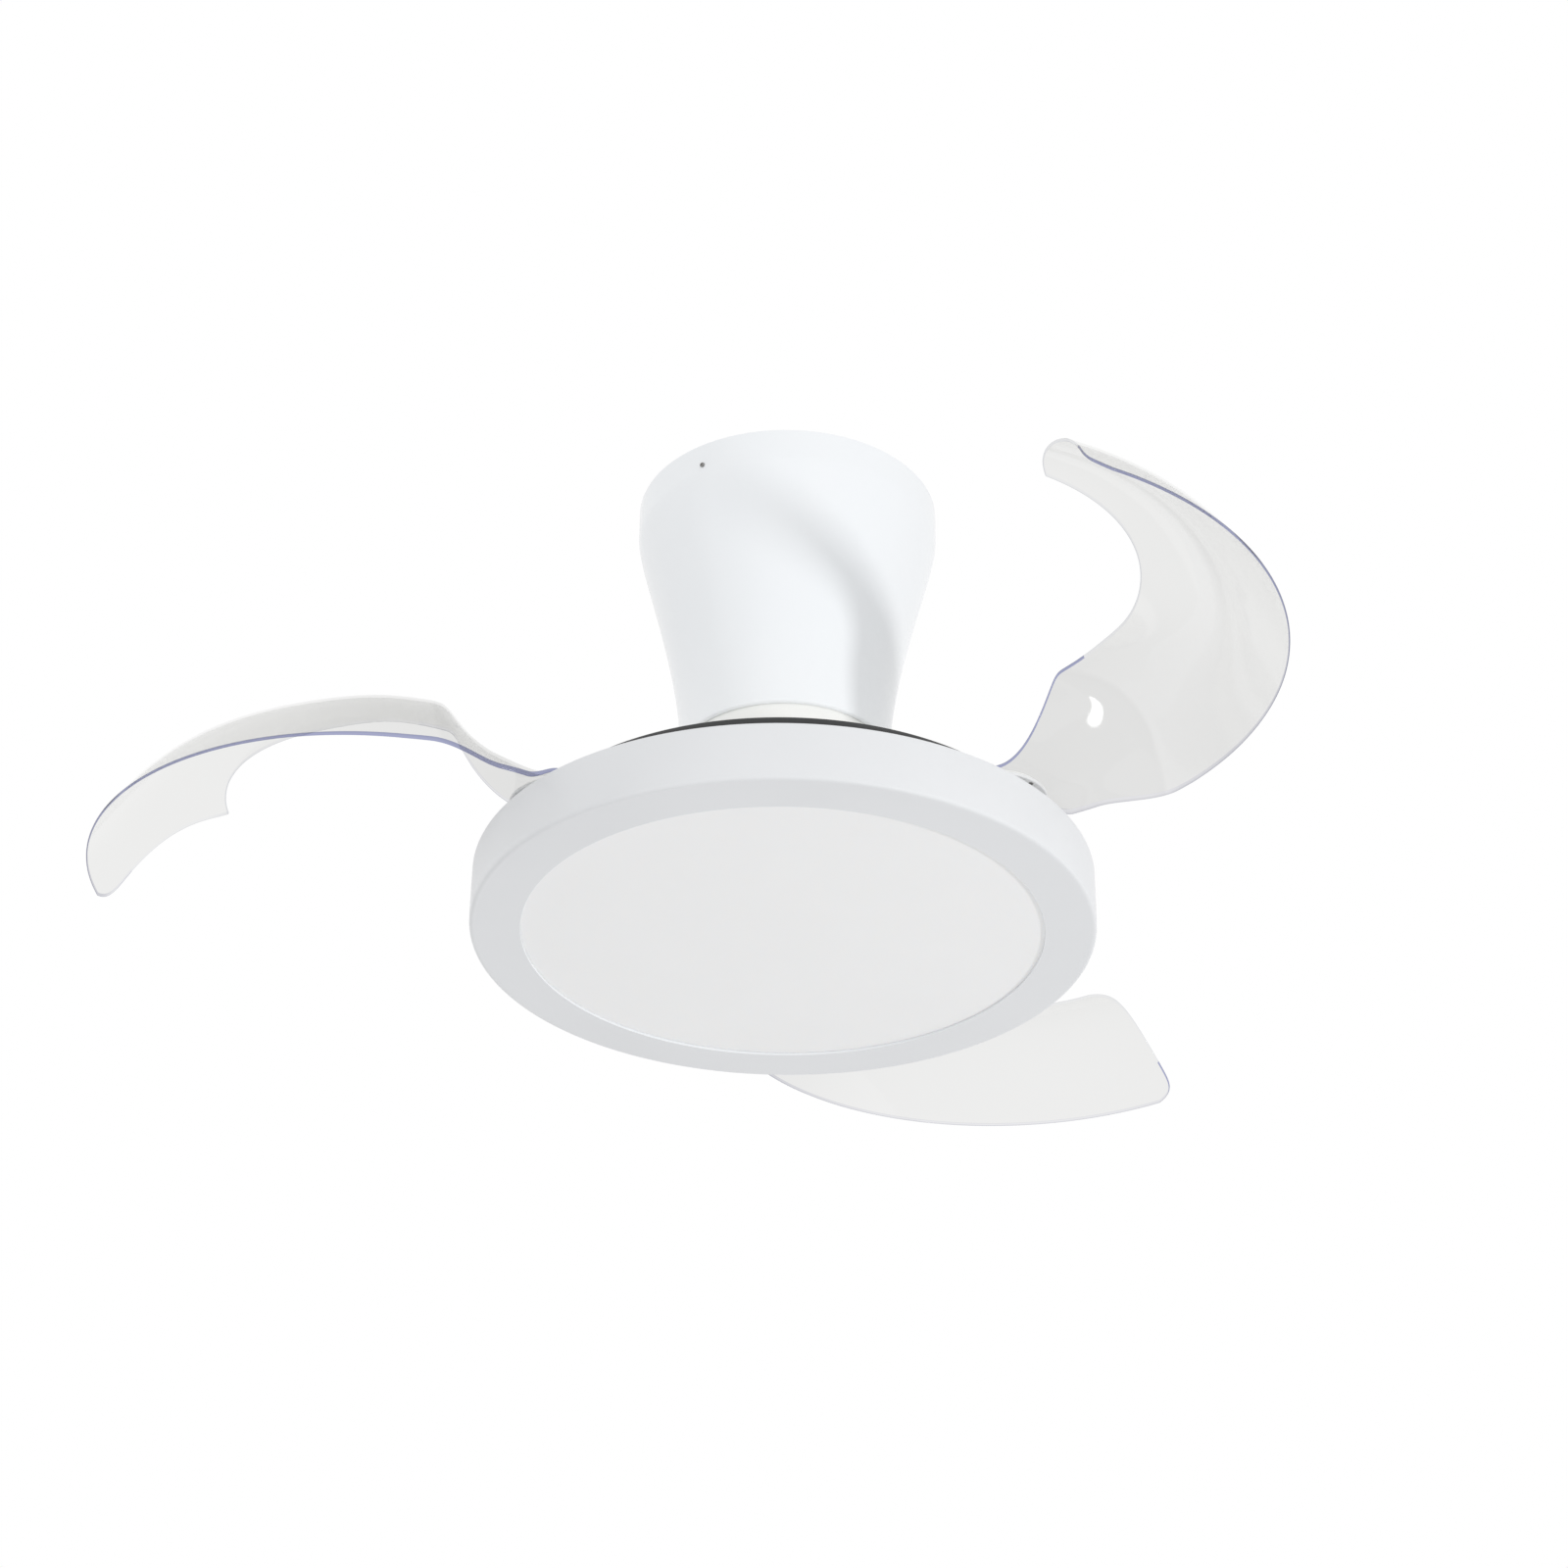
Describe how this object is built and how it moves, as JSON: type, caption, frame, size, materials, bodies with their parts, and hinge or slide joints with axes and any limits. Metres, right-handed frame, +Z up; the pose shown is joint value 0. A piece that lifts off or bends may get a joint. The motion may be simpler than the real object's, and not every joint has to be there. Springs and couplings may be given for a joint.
{
  "type": "retractable blade ceiling fan",
  "caption": "Flush ceiling fan with a flared canopy, a spinning hub whose clear curved blades swing out or fold in together, and a round flat lamp below.",
  "frame": {"origin": "middle of the bracket's face that lies on the ceiling", "axes": "+Z up into the ceiling along the motor shaft, -Y towards the viewer of the picture"},
  "size_m": [0.8741, 0.9656, 0.383],
  "materials": {
    "white_gloss_paint": "glossy white powder coat",
    "white_satin_paint": "satin warm white paint",
    "white_pan_paint": "satin cool white paint",
    "black_paint": "satin black paint",
    "opal_plastic": "opal, light diffusing, fine satin face",
    "white_plastic": "moulded white plastic",
    "clear_blade": "clear moulded plastic, polished, edges with a blue-violet tint",
    "nylon": "natural nylon",
    "zinc_steel": "bright zinc plated pressed steel",
    "bright_steel": "ground steel",
    "laminated_steel": "stack of lacquered steel sheets",
    "copper_wire": "enamelled copper wire",
    "ferrite": "sintered ferrite magnet",
    "bronze": "oil-filled sintered bronze"
  },
  "bodies": {
    "mount_and_lamp": {"ceiling_bracket": "zinc_steel", "hanger_yoke": "zinc_steel", "hanger_pin": "bright_steel", "down_rod": "white_satin_paint", "rod_pin": "bright_steel", "motor_shaft": "bright_steel", "receiver_box": "white_plastic", "terminal_block": "nylon", "canopy": "white_gloss_paint", "canopy_screw_1": "zinc_steel", "canopy_screw_2": "zinc_steel", "light_pan": "white_pan_paint", "diffuser": "opal_plastic", "pan_lid": "white_pan_paint", "led_board": "white_plastic", "led_driver": "white_plastic", "lamp_nut": "zinc_steel", "lamp_spacer": "zinc_steel", "stator_core": "laminated_steel", "stator_windings": "copper_wire"},
    "rotor": {"motor_shell_lower": "white_satin_paint", "motor_shell_upper": "white_satin_paint", "magnet_ring": "ferrite", "bearing_lower": "bright_steel", "bearing_upper": "bright_steel", "blade_carrier": "black_paint", "gear_retainer": "bright_steel", "return_spring": "bright_steel", "pivot_housing_1": "white_plastic", "pivot_bush_1": "bronze", "stop_stud_1": "zinc_steel", "pivot_housing_2": "white_plastic", "pivot_bush_2": "bronze", "stop_stud_2": "zinc_steel", "pivot_housing_3": "white_plastic", "pivot_bush_3": "bronze", "stop_stud_3": "zinc_steel"},
    "sun_gear": {"sun_gear": "nylon"},
    "blade_arm_1": {"blade_1": "clear_blade", "thrust_washer_1": "nylon", "blade_clamp_1": "white_plastic", "pivot_pin_1": "bright_steel", "blade_pinion_1": "nylon"},
    "blade_arm_2": {"blade_2": "clear_blade", "thrust_washer_2": "nylon", "blade_clamp_2": "white_plastic", "pivot_pin_2": "bright_steel", "blade_pinion_2": "nylon"},
    "blade_arm_3": {"blade_3": "clear_blade", "thrust_washer_3": "nylon", "blade_clamp_3": "white_plastic", "pivot_pin_3": "bright_steel", "blade_pinion_3": "nylon"}
  },
  "joints": [
    {"name": "rotor_spin", "type": "hinge", "parent": "mount_and_lamp", "child": "rotor", "pos_m": [0, 0, -0.25], "axis": [0, 0, 1], "continuous": true},
    {"name": "blade_fold_1", "type": "hinge", "parent": "rotor", "child": "blade_arm_1", "pos_m": [0.15438, -0.10103, -0.32], "axis": [0, 0, 1], "range_deg": [-107.5, 0]},
    {"name": "blade_fold_2", "type": "hinge", "parent": "rotor", "child": "blade_arm_2", "pos_m": [0.0103, 0.18421, -0.32], "axis": [0, 0, 1], "range_deg": [-107.5, 0]},
    {"name": "blade_fold_3", "type": "hinge", "parent": "rotor", "child": "blade_arm_3", "pos_m": [-0.16468, -0.08319, -0.32], "axis": [0, 0, 1], "range_deg": [-107.5, 0]},
    {"name": "sun_gear_turn", "type": "hinge", "parent": "rotor", "child": "sun_gear", "pos_m": [0, 0, -0.33], "axis": [0, 0, 1], "range_deg": [0, 14.93]}
  ],
  "couplings": [
    {"joint": "blade_fold_2", "follows": "blade_fold_1", "ratio": 1},
    {"joint": "blade_fold_3", "follows": "blade_fold_1", "ratio": 1},
    {"joint": "sun_gear_turn", "follows": "blade_fold_1", "ratio": -0.13889}
  ]
}
